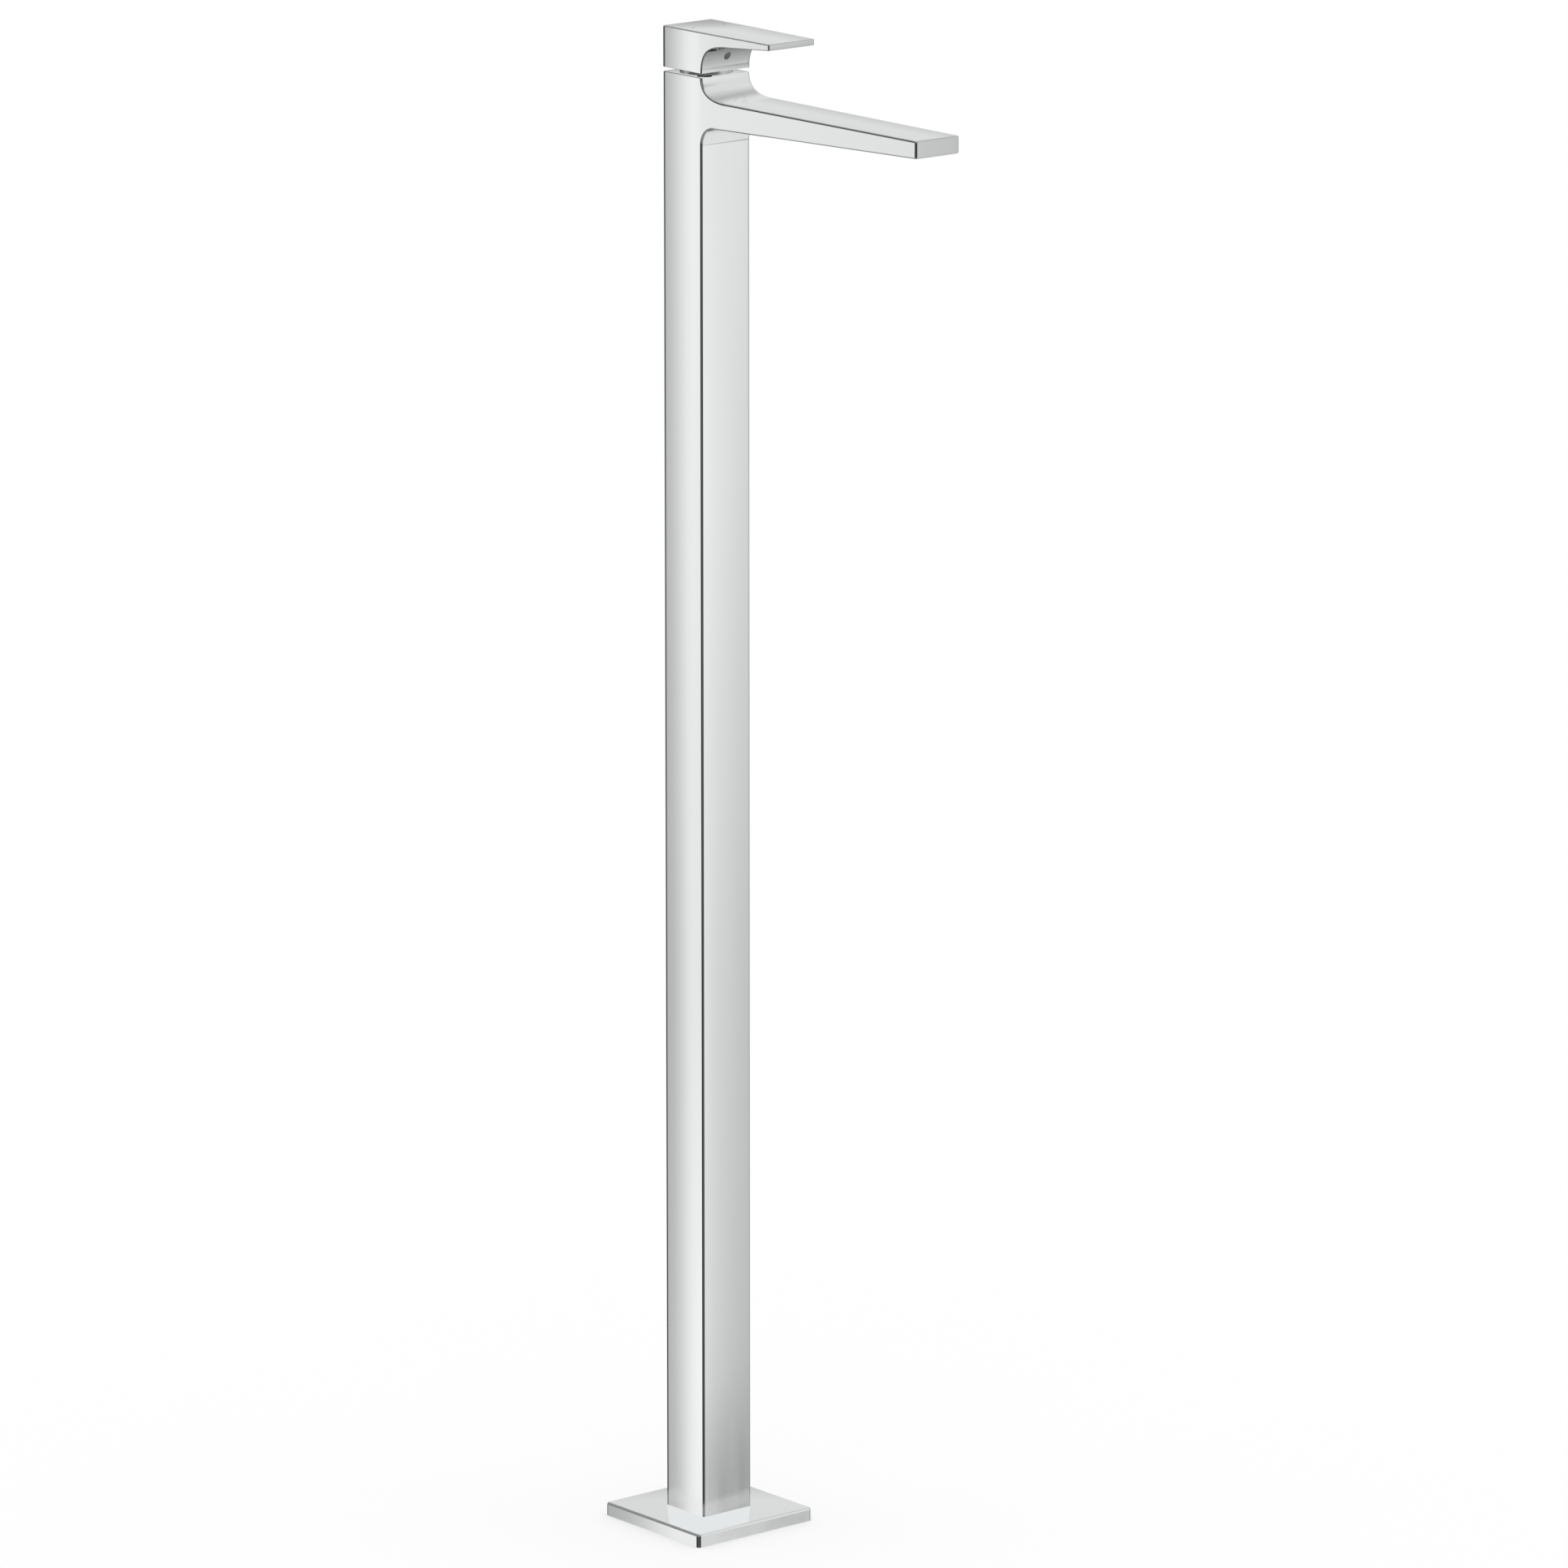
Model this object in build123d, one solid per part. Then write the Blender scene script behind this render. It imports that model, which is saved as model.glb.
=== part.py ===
from build123d import *
import math
import os

# Floor-standing basin mixer: a rectangular column on a square foot, with a cast head whose
# spout reaches over the basin, and a flat lever that lifts for flow and swings for warmth.
# Millimetres. The origin is on the floor at the column's axis, +Z is up, the spout and the
# lever point to -Y, and the hot side is -X.

# Driving dimensions: column and head
column_width = 46.0
column_depth = 44.0
column_wall = 2.0
column_edge_radius = 1.4
head_height = 110.0
body_top = 1100.0
spigot_length = 28.0
spigot_gap = 0.2
spigot_wall = 3.0
deck_thickness = 24.0
top_rim_radius = 0.5

# Driving dimensions: spout
spout_reach = 237.0
spout_tip_thickness = 13.0
spout_tip_width = 40.6
spout_top_drop = 15.85
spout_throat_length = 28.0
spout_throat_steepness = 10.0
spout_throat_flatness = 20.0
spout_root_thickness = 20.75
spout_armpit_radius = 14.0
side_blend_radius = 2000.0
side_blend_room = 20.2

# Driving dimensions: water way in the spout
waterway_width = 24.0
waterway_height = 7.0
waterway_floor = 2.9
waterway_bend = 16.0
waterway_end_wall = 7.0

# Driving dimensions: foot
flange_side = 110.0
flange_height = 10.0
flange_wall = 2.5
flange_roof = 2.0
flange_corner_radius = 2.5
flange_top_radius = 1.6
flange_column_gap = 0.3
plate_side = 100.0
plate_thickness = 6.0
plate_corner_radius = 3.0
floor_bolt_spacing = 76.0
floor_bolt_hole_radius = 4.5
floor_bolt_sink_radius = 7.5
gasket_width = 3.5

# Driving dimensions: supply and pipes
pipe_offset = 10.5
pipe_setback = 3.0
pipe_radius = 5.0
pipe_wall = 1.0
pipe_socket_gap = 0.1
pipe_socket_depth = 14.0
seal_mouth_depth = 6.0
supply_radius = 7.5
supply_depth = 16.0
supply_plate_hole_radius = 9.0
pipe_stop = 3.0
inlet_block_height = 34.0
inlet_block_gap = 0.3
seal_cord_radius = 0.9
seal_groove_extra = 0.2

# Driving dimensions: rods, screws and spacers
rod_radius = 3.0
rod_offset = 13.0
rod_hole_gap = 0.2
rod_thread_gap = 0.05
rod_thread_depth = 14.0
rod_thread_end = 2.0
rod_nut_flats = 10.0
rod_nut_height = 5.0
rod_nut_pocket_gap = 0.4
rod_nut_pocket_depth = 8.0
rod_end_setback = 1.0
plate_screw_radius = 2.0
plate_screw_head_radius = 4.0
plate_screw_length = 16.0
plate_screw_across = 32.0
plate_screw_along = 30.0
plate_screw_recess = 0.2
screw_fit = 0.1
spacer_thickness = 4.0
spacer_count = 3
spacer_gap = 0.3

# Driving dimensions: cartridge seat in the head
cartridge_radius = 17.4
cartridge_gap = 0.3
seat_depth = 40.0
nut_radius = 18.9
nut_thread_gap = 0.05
nut_height = 7.0
nut_bore_radius = 13.6
nut_hex_flats = 30.0
nut_hex_height = 4.0
thread_relief = 2.0

# Driving dimensions: cartridge
base_height = 7.0
base_floor = 2.0
base_roof = 1.5
plenum_radius = 13.0
plenum_tube_wall = 1.6
outlet_window_width = 18.0
peg_radius = 1.5
peg_length = 2.0
peg_setback = 13.5
peg_gap = 0.1
port_offset = 7.5
port_forward = 5.5
port_radius = 2.6
outlet_port_radius = 3.6
base_seal_width = 1.6
base_seal_height = 1.2
disc_gasket_height = 1.0
housing_wall = 1.4
housing_lip = 4.0
fixed_disc_thickness = 3.5
fixed_disc_gap = 0.8
disc_key_width = 2.8
disc_key_depth = 1.6
disc_key_gap = 0.1
disc_film = 0.05
moving_disc_radius = 12.9
moving_disc_thickness = 3.45
chamber_radius = 6.2
chamber_depth = 2.0
driver_thickness = 5.0
driver_lug_width = 4.0
driver_lug_length = 1.5
driver_lug_drop = 2.0
rail_half_width = 6.0
rail_height = 2.0
rail_gap = 0.3

# Driving dimensions: turret, stem and swing stop
turret_gap = 0.3
turret_flange_gap = 0.4
turret_hub_radius = 12.2
turret_hub_gap = 0.3
swing_limit = 50.0
stop_half_angle = 10.0
stop_margin = 1.0
pivot_setback = 7.0
pivot_below_lever = 11.0
pin_radius = 2.0
pin_gap = 0.06
pin_press = 0.02
stem_width = 8.0
stem_depth = 8.0
stem_forward = 5.0
stem_top = 18.0
stem_eye_radius = 4.0
stem_arm_radius = 1.8
ball_radius = 2.4
ball_height = 2.8
socket_radius = 2.9
stem_slot_gap = 0.3
stem_slot_front = 8.8
stem_slot_back = 4.3
stem_neck_height = 8.0

# Driving dimensions: collar
collar_radius = 19.4
collar_gap = 0.5
collar_wall = 1.4
collar_roof = 1.2
collar_below_lever = 0.3
collar_hub_gap = 0.7
collar_edge_radius = 0.4
collar_seat_depth = 5.0

# Driving dimensions: lever
lever_gap = 3.0
lever_height = 30.5
lever_reach = 75.0
lever_tip_thickness = 4.7
lever_tip_width = 43.0
lever_throat_length = 28.0
lever_throat_rise = 22.3
lever_throat_flatness = 18.0
lever_throat_steepness = 17.5
lever_edge_radius = 0.9
lever_rim_radius = 0.4
lever_wall = 2.6
lever_back_wall = 2.4
lever_front_wall = 2.4
lever_roof = 4.5
boss_half_width = 7.0
boss_back = 12.0
boss_lift = 2.0
stem_hole_gap = 0.05
screw_height = 11.3
screw_radius = 2.5
screw_hole_gap = 0.05
screw_length = 8.0
screw_key_radius = 1.25
screw_key_depth = 3.0
plug_radius = 2.95
plug_gap = 0.05
plug_depth = 3.0
mark_radius = 1.0
mark_gap = 0.05
mark_depth = 0.6
mark_offset = 14.3
mark_forward = 2.5

# Driving dimensions: aerator
aerator_setback = 18.0
aerator_radius = 11.0
aerator_gap = 0.1
aerator_wall = 1.6
aerator_height = 6.0
aerator_recess = 0.5
aerator_lip = 1.0
aerator_insert_gap = 0.1
aerator_insert_height = 3.0
aerator_bar = 0.8
aerator_bar_pitch = 3.0
aerator_seal_height = 1.2

# Heights and faces that follow from the driving dimensions
half_width = column_width / 2
half_depth = column_depth / 2
front = -half_depth
head_joint = body_top - head_height
seat_floor = body_top - seat_depth
deck_bottom = seat_floor - deck_thickness
tube_inner_width = column_width - 2 * column_wall
tube_inner_depth = column_depth - 2 * column_wall
spout_tip = front - spout_reach
spout_top = body_top - spout_top_drop
spout_root_bottom = spout_top - spout_root_thickness
spout_tip_bottom = spout_top - spout_tip_thickness
lever_bottom = body_top + lever_gap
lever_top = lever_bottom + lever_height
lever_tip = front - lever_reach
base_top = seat_floor + base_height
gasket_top = base_top + disc_gasket_height
fixed_disc_top = gasket_top + fixed_disc_thickness
moving_disc_bottom = fixed_disc_top + disc_film
moving_disc_top = moving_disc_bottom + moving_disc_thickness
driver_top = moving_disc_top + driver_thickness
turret_bottom = driver_top + turret_gap
nut_bottom = body_top - collar_seat_depth - nut_height
nut_top = nut_bottom + nut_height
housing_top = nut_bottom
lip_bottom = housing_top - housing_lip
housing_bore_radius = cartridge_radius - housing_wall
turret_top = nut_top + nut_hex_height
pivot_height = lever_bottom - pivot_below_lever
ball_centre = moving_disc_top + ball_height
riser_bottom = plate_thickness + supply_depth + pipe_stop
riser_top = deck_bottom + pipe_socket_depth
rod_bottom = plate_thickness + rod_end_setback
rod_top = deck_bottom + rod_thread_depth
aerator_y = spout_tip + aerator_setback
underside_slope = (spout_tip_bottom - spout_root_bottom) / spout_reach
aerator_bottom = spout_tip_bottom - underside_slope * aerator_setback + aerator_recess
block_top = plate_thickness + inlet_block_height
sides = (-1, 1)


def block(x0, x1, y0, y1, z0, z1):
    # A box between two corners
    centre = Pos((x0 + x1) / 2, (y0 + y1) / 2, (z0 + z1) / 2)
    return centre * Box(x1 - x0, y1 - y0, z1 - z0)


def bar(width, depth, radius, z0, z1):
    # An upright bar on the column's axis, with rounded upright edges
    outline = RectangleRounded(width, depth, radius)
    return Pos(0, 0, z0) * extrude(outline, z1 - z0)


def upright(radius, z0, z1, x=0.0, y=0.0):
    # An upright cylinder
    return Pos(x, y, (z0 + z1) / 2) * Cylinder(radius, z1 - z0)


def ring(outer, inner, z0, z1, x=0.0, y=0.0):
    # An upright ring
    return upright(outer, z0, z1, x, y) - upright(inner, z0, z1, x, y)


def along_x(radius, half_length, y, z):
    # A cylinder that lies along X, centred on the middle plane
    return Pos(0, y, z) * Rot(0, 90, 0) * Cylinder(radius, 2 * half_length)


def along_y(radius, y0, y1, z):
    # A cylinder that lies along Y on the middle plane
    return Pos(0, (y0 + y1) / 2, z) * Rot(90, 0, 0) * Cylinder(radius, y1 - y0)


def side_slab(outline, reach):
    # A side view, drawn as (y, z), made solid to the same reach on both sides
    face = Plane.YZ * make_face(outline)
    return extrude(face, reach, both=True)


def chain(points):
    # Straight lines through the points and back to the first
    return Polyline(*points, close=True)


def cone_sink(hole_radius, sink_radius, z_small, z_large, x, y):
    # The funnel of a countersunk hole, its wide end at z_large
    small = Pos(x, y, z_small) * Circle(hole_radius)
    large = Pos(x, y, z_large) * Circle(sink_radius)
    return loft([small, large])


def four_places(across, along):
    return [(sx * across / 2, sy * along / 2) for sx in sides for sy in sides]


def pipe_places():
    return [(side * pipe_offset, -pipe_setback) for side in sides]


def rod_places():
    return [(0.0, side * rod_offset) for side in sides]


def tapered_plan(tip_y, tip_width, z0, z1):
    # The plan view of head or lever: square at the back, narrower towards the tip
    outline = Polyline(
        (-half_width, half_depth),
        (-half_width, front),
        (-tip_width / 2, tip_y),
        (tip_width / 2, tip_y),
        (half_width, front),
        (half_width, half_depth),
        close=True,
    )
    plan = make_face(outline)
    turn = math.atan2(abs(half_width - tip_width / 2), front - tip_y)
    bends = plan.vertices().filter_by_position(Axis.Y, front, front)
    plan = fillet(bends, min(side_blend_radius, side_blend_room / math.tan(turn / 2)))
    return Pos(0, 0, z0) * extrude(plan, z1 - z0)


def head_side_view():
    # The casting's side view, with the hollow curve over the spout and the armpit under it
    throat_end = front - spout_throat_length
    throat = Bezier(
        (front, body_top),
        (front, body_top - spout_throat_steepness),
        (throat_end + spout_throat_flatness, spout_top),
        (throat_end, spout_top),
    )
    rest = Polyline(
        (throat_end, spout_top),
        (spout_tip, spout_top),
        (spout_tip, spout_tip_bottom),
        (front, spout_root_bottom),
        (front, head_joint),
        (half_depth, head_joint),
        (half_depth, body_top),
        (front, body_top),
    )
    view = make_face([throat, rest])
    armpit = view.vertices().sort_by_distance(Vector(front, spout_root_bottom, 0))[0]
    return fillet(armpit, spout_armpit_radius)


def waterway():
    # The duct from the cartridge seat to the aerator, bent where the spout leaves the column
    bend_y = front - waterway_bend
    end_y = spout_tip + waterway_end_wall
    start_y = front + cartridge_radius / 2
    start_floor = seat_floor + base_floor
    bend_floor = spout_root_bottom + underside_slope * waterway_bend + waterway_floor
    end_floor = spout_tip_bottom - underside_slope * waterway_end_wall + waterway_floor
    outline = chain(
        [
            (start_y, start_floor),
            (front, start_floor),
            (bend_y, bend_floor),
            (end_y, end_floor),
            (end_y, end_floor + waterway_height),
            (bend_y, bend_floor + waterway_height),
            (start_y, start_floor + waterway_height),
        ]
    )
    return side_slab(outline, waterway_width / 2)


def head_outside():
    # The casting's outer form, before it is hollowed
    plan = tapered_plan(spout_tip, spout_tip_width, head_joint, body_top)
    form = side_slab(head_side_view(), column_width) & plan
    levels = form.edges().group_by(Axis.Z)
    form = fillet(ShapeList(form.edges()) - levels[0] - levels[-1], column_edge_radius)
    rim = form.edges().group_by(Axis.Z)[-1]
    return fillet(rim, top_rim_radius)


def pipe_socket(mouth, end, x, y):
    # The hole that takes one end of a riser pipe, with the groove of its O-ring
    direction = 1 if end > mouth else -1
    seal = mouth + direction * seal_mouth_depth
    half_height = seal_cord_radius + seal_groove_extra
    groove_radius = pipe_radius + pipe_socket_gap + 2 * seal_cord_radius + seal_groove_extra
    hole = upright(pipe_radius + pipe_socket_gap, min(mouth, end), max(mouth, end), x, y)
    return hole + upright(groove_radius, seal - half_height, seal + half_height, x, y)


def spout_body():
    # Head and spout in one hollow casting, which stands on the tube with its spigot inside it
    spigot_width = tube_inner_width - 2 * spigot_gap
    spigot_depth = tube_inner_depth - 2 * spigot_gap
    hollow_width = spigot_width - 2 * spigot_wall
    hollow_depth = spigot_depth - 2 * spigot_wall
    spigot_bottom = head_joint - spigot_length
    body = head_outside()
    body += bar(spigot_width, spigot_depth, spigot_gap, spigot_bottom, head_joint)
    body -= bar(hollow_width, hollow_depth, spigot_wall, spigot_bottom, deck_bottom)
    body -= upright(cartridge_radius + cartridge_gap, seat_floor, body_top)
    body -= upright(nut_radius + nut_thread_gap, nut_bottom - thread_relief, body_top)
    body -= upright(collar_radius + collar_gap, nut_top, body_top)
    peg_end = seat_floor - peg_length - peg_gap
    body -= upright(peg_radius + peg_gap, peg_end, seat_floor, 0, peg_setback)
    body -= waterway()
    aerator_mouth = aerator_bottom - spout_tip_thickness
    body -= upright(aerator_radius + aerator_gap, aerator_mouth, aerator_top(), 0, aerator_y)
    for x, y in pipe_places():
        body -= pipe_socket(deck_bottom, riser_top, x, y)
    for side in sides:
        body -= upright(port_radius, riser_top, seat_floor, side * port_offset, -port_forward)
    for x, y in rod_places():
        body -= upright(rod_radius + rod_thread_gap, deck_bottom, rod_top + rod_thread_end, x, y)
    return body


def aerator_top():
    return aerator_bottom + aerator_height + aerator_seal_height


def aerator_housing():
    # The round shell of the outlet, with a lip at its foot that carries the insert
    inner = aerator_radius - aerator_wall
    top = aerator_bottom + aerator_height
    shell = ring(aerator_radius, inner, aerator_bottom, top, 0, aerator_y)
    lip_top = aerator_bottom + aerator_lip
    return shell + ring(aerator_radius, inner - aerator_wall, aerator_bottom, lip_top, 0, aerator_y)


def aerator_insert():
    # The round grid that breaks the jet into soft streams
    outer = aerator_radius - aerator_wall - aerator_insert_gap
    bottom = aerator_bottom + aerator_lip
    top = bottom + aerator_insert_height
    rim = ring(outer, outer - aerator_wall / 2, bottom, top)
    bars = block(-outer, outer, -aerator_bar / 2, aerator_bar / 2, bottom, top)
    count = math.floor((outer - aerator_wall) / aerator_bar_pitch)
    for step in range(1, count + 1):
        for side in sides:
            y = side * step * aerator_bar_pitch
            bars += block(-outer, outer, y - aerator_bar / 2, y + aerator_bar / 2, bottom, top)
    crossed = bars + Rot(0, 0, 90) * bars
    return Pos(0, aerator_y, 0) * (rim + (crossed & upright(outer, bottom, top)))


def aerator_seal():
    bottom = aerator_bottom + aerator_height
    return ring(aerator_radius, aerator_radius - aerator_wall, bottom, aerator_top(), 0, aerator_y)


def column_tube():
    # The drawn rectangular tube between foot plate and head
    outside = bar(column_width, column_depth, column_edge_radius, plate_thickness, head_joint)
    inner_radius = spigot_gap
    return outside - bar(tube_inner_width, tube_inner_depth, inner_radius, plate_thickness, head_joint)


def cover_flange():
    # The square cover, open underneath, with a hole that the column passes through
    cover = bar(flange_side, flange_side, flange_corner_radius, 0, flange_height)
    cover = fillet(cover.edges().group_by(Axis.Z)[-1], flange_top_radius)
    inner_side = flange_side - 2 * flange_wall
    cover -= bar(inner_side, inner_side, flange_corner_radius / 2, 0, flange_height - flange_roof)
    return cover - bar(
        column_width + 2 * flange_column_gap,
        column_depth + 2 * flange_column_gap,
        column_edge_radius + flange_column_gap,
        0,
        flange_height,
    )


def column_gasket():
    # The rubber frame that centres the cover on the column and carries its roof
    top = flange_height - flange_roof
    outer_width = column_width + 2 * gasket_width
    outer_depth = column_depth + 2 * gasket_width
    inner_width = column_width + flange_column_gap
    inner_depth = column_depth + flange_column_gap
    outer = bar(outer_width, outer_depth, gasket_width, plate_thickness, top)
    return outer - bar(inner_width, inner_depth, column_edge_radius, plate_thickness, top)


def plate_screw_places():
    return four_places(plate_screw_across, plate_screw_along)


def foot_plate():
    # The steel plate with four countersunk holes for the floor bolts and two for the supply
    plate = bar(plate_side, plate_side, plate_corner_radius, 0, plate_thickness)
    sink_start = plate_thickness - (floor_bolt_sink_radius - floor_bolt_hole_radius)
    for x, y in four_places(floor_bolt_spacing, floor_bolt_spacing):
        plate -= upright(floor_bolt_hole_radius, 0, plate_thickness, x, y)
        plate -= cone_sink(floor_bolt_hole_radius, floor_bolt_sink_radius, sink_start, plate_thickness, x, y)
    for x, y in pipe_places():
        plate -= upright(supply_plate_hole_radius, 0, plate_thickness, x, y)
    for x, y in plate_screw_places():
        plate -= plate_screw_body(screw_fit, x, y)
    return plate


def plate_screw_body(extra, x, y):
    # A countersunk screw, head down, or with extra the hole that it leaves room in
    head_depth = plate_screw_head_radius - plate_screw_radius
    top = plate_screw_length if extra == 0 else plate_thickness
    bottom = plate_screw_recess
    shank = upright(plate_screw_radius + extra, bottom, top, x, y)
    head = cone_sink(
        plate_screw_radius + extra, plate_screw_head_radius + extra, bottom + head_depth, bottom, x, y
    )
    if extra:
        head += upright(plate_screw_head_radius + extra, 0, bottom, x, y)
    return shank + head


def plate_screws():
    return Compound(children=[plate_screw_body(0, x, y) for x, y in plate_screw_places()])


def inlet_block():
    # The brass block inside the tube's foot that joins the supply to the two risers
    width = tube_inner_width - 2 * inlet_block_gap
    depth = tube_inner_depth - 2 * inlet_block_gap
    body = bar(width, depth, inlet_block_gap, plate_thickness, block_top)
    supply_top = plate_thickness + supply_depth
    for x, y in pipe_places():
        body -= upright(supply_radius, plate_thickness, supply_top, x, y)
        body -= upright(pipe_radius - pipe_wall, supply_top, riser_bottom, x, y)
        body -= pipe_socket(block_top, riser_bottom, x, y)
    pocket_top = plate_thickness + rod_nut_pocket_depth
    for x, y in rod_places():
        body -= upright(rod_radius + rod_hole_gap, plate_thickness, block_top, x, y)
        body -= upright(nut_pocket_radius(), plate_thickness, pocket_top, x, y)
    screw_end = plate_screw_length + screw_fit
    for x, y in plate_screw_places():
        body -= upright(plate_screw_radius + screw_fit, plate_thickness, screw_end, x, y)
    return body


def nut_pocket_radius():
    return rod_nut_flats / math.sqrt(3) + rod_nut_pocket_gap


def riser(side):
    # One straight pipe from the inlet block to the head
    x = side * pipe_offset
    return ring(pipe_radius, pipe_radius - pipe_wall, riser_bottom, riser_top, x, -pipe_setback)


def riser_seals():
    # Four O-rings, one round each end of each pipe
    centre_line = pipe_radius + pipe_socket_gap + seal_cord_radius
    seals = []
    for x, y in pipe_places():
        for z in (block_top - seal_mouth_depth, deck_bottom + seal_mouth_depth):
            seals.append(Pos(x, y, z) * Torus(centre_line, seal_cord_radius))
    return Compound(children=seals)


def tie_rods():
    # Two rods that pull the head down on the inlet block, with the tube between them
    rods = [upright(rod_radius, rod_bottom, rod_top, x, y) for x, y in rod_places()]
    return Compound(children=rods)


def hexagon(flats, z0, z1, x=0.0, y=0.0):
    return Pos(x, y, z0) * extrude(RegularPolygon(flats / 2, 6, major_radius=False), z1 - z0)


def tie_rod_nuts():
    top = plate_thickness + rod_nut_pocket_depth
    nuts = []
    for x, y in rod_places():
        nut = hexagon(rod_nut_flats, top - rod_nut_height, top, x, y)
        nuts.append(nut - upright(rod_radius + rod_thread_gap, top - rod_nut_height, top, x, y))
    return Compound(children=nuts)


def pipe_spacers():
    # Plastic plates that keep the pipes and rods in line, evenly spread up the tube
    width = tube_inner_width - 2 * spacer_gap
    depth = tube_inner_depth - 2 * spacer_gap
    span = deck_bottom - spigot_length - block_top
    spacers = []
    for step in range(1, spacer_count + 1):
        bottom = block_top + span * step / (spacer_count + 1)
        top = bottom + spacer_thickness
        plate = bar(width, depth, inlet_block_gap, bottom, top)
        for x, y in pipe_places():
            plate -= upright(pipe_radius + pipe_socket_gap, bottom, top, x, y)
        for x, y in rod_places():
            plate -= upright(rod_radius + rod_hole_gap, bottom, top, x, y)
        spacers.append(plate)
    return Compound(children=spacers)


def inlet_places():
    return [(side * port_offset, -port_forward) for side in sides]


def cartridge_base():
    # The cartridge's foot: two inlets rise through it, and the mixed water leaves by its front
    floor_top = seat_floor + base_floor
    roof_bottom = base_top - base_roof
    base = upright(cartridge_radius, seat_floor, base_top)
    plenum = upright(plenum_radius, floor_top, roof_bottom)
    plenum += block(
        -outlet_window_width / 2, outlet_window_width / 2, -cartridge_radius, 0, floor_top, roof_bottom
    )
    for x, y in inlet_places():
        plenum -= upright(port_radius + plenum_tube_wall, floor_top, roof_bottom, x, y)
    base -= plenum
    base -= upright(outlet_port_radius, roof_bottom, base_top)
    for x, y in inlet_places():
        base -= upright(port_radius, seat_floor, base_top, x, y)
        base -= upright(port_radius + base_seal_width, seat_floor, seat_floor + base_seal_height, x, y)
    return base + upright(peg_radius, seat_floor - peg_length, seat_floor, 0, peg_setback)


def base_seals():
    # Two seals pressed between the cartridge's foot and the floor of its seat
    top = seat_floor + base_seal_height
    outer = port_radius + base_seal_width
    seals = [ring(outer, port_radius, seat_floor, top, x, y) for x, y in inlet_places()]
    return Compound(children=seals)


def disc_ports(body, z0, z1):
    # The two inlets and the outlet, cut through a disc or gasket
    body -= upright(outlet_port_radius, z0, z1)
    for x, y in inlet_places():
        body -= upright(port_radius, z0, z1, x, y)
    return body


def disc_gasket():
    radius = housing_bore_radius - fixed_disc_gap
    return disc_ports(upright(radius, base_top, gasket_top), base_top, gasket_top)


def disc_keys(gap, z0, z1):
    # The two ribs of the housing that keep the fixed disc from turning
    reach = housing_bore_radius - disc_key_depth - gap
    half = disc_key_width / 2 + gap
    keys = block(-cartridge_radius, cartridge_radius, -half, half, z0, z1)
    return keys - block(-reach, reach, -half, half, z0, z1)


def fixed_disc():
    # The ceramic disc that stays still, with two inlets and one outlet
    radius = housing_bore_radius - fixed_disc_gap
    disc = disc_ports(upright(radius, gasket_top, fixed_disc_top), gasket_top, fixed_disc_top)
    return disc - disc_keys(disc_key_gap, gasket_top, fixed_disc_top)


def driver_lugs(gap):
    # The two lugs by which the driver holds the moving disc
    top = moving_disc_top
    bottom = top - driver_lug_drop - gap
    half = driver_lug_width / 2 + gap
    reach = moving_disc_radius - driver_lug_length - gap
    lugs = upright(moving_disc_radius, bottom, top) & block(
        -moving_disc_radius, moving_disc_radius, -half, half, bottom, top
    )
    return lugs - block(-reach, reach, -half, half, bottom, top)


def moving_disc():
    # The ceramic disc that slides and turns, with the chamber that links the ports underneath
    disc = upright(moving_disc_radius, moving_disc_bottom, moving_disc_top)
    disc -= upright(chamber_radius, moving_disc_bottom, moving_disc_bottom + chamber_depth)
    return disc - driver_lugs(disc_key_gap)


def driver_rail(gap):
    # The rail on the driver that guides it across the turret, or with a gap its groove
    reach = housing_bore_radius if gap else moving_disc_radius - rail_height
    half = rail_half_width + gap
    bottom = turret_bottom if gap else driver_top
    return block(-half, half, -reach, reach, bottom, driver_top + rail_height + gap)


def disc_driver():
    # The plastic piece that carries the moving disc and takes the ball end of the stem
    driver = upright(moving_disc_radius, moving_disc_top, driver_top)
    driver += driver_rail(0) + driver_lugs(0)
    return driver - upright(
        socket_radius, moving_disc_top, driver_top + rail_height, 0, pivot_setback
    )


def sector(radius, half_angle, z0, z1):
    # A pie slice that opens to +Y
    a = math.radians(half_angle)
    far = 2 * radius
    outline = Polyline(
        (0, 0),
        (far * math.sin(a), far * math.cos(a)),
        (0, far),
        (-far * math.sin(a), far * math.cos(a)),
        close=True,
    )
    return upright(radius, z0, z1) & Pos(0, 0, z0) * extrude(make_face(outline), z1 - z0)


def cartridge_housing():
    # The cartridge's case: a cup over the discs, with a lip that keeps the turret in
    case = upright(cartridge_radius, base_top, housing_top)
    case -= upright(housing_bore_radius, base_top, lip_bottom)
    case -= upright(turret_hub_radius + turret_hub_gap, lip_bottom, housing_top)
    keys = disc_keys(0, gasket_top, fixed_disc_top)
    case += keys & upright(cartridge_radius, gasket_top, fixed_disc_top)
    stop = sector(housing_bore_radius + housing_wall / 2, stop_half_angle, turret_bottom, lip_bottom)
    return case + (stop - upright(turret_hub_radius + turret_hub_gap, turret_bottom, lip_bottom))


def stem_slot():
    # The slot in the turret that the stem tilts in
    half = stem_width / 2 + stem_slot_gap
    back = pivot_setback + stem_slot_back
    return block(-half, half, pivot_setback - stem_slot_front, back, turret_bottom, turret_top)


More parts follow.
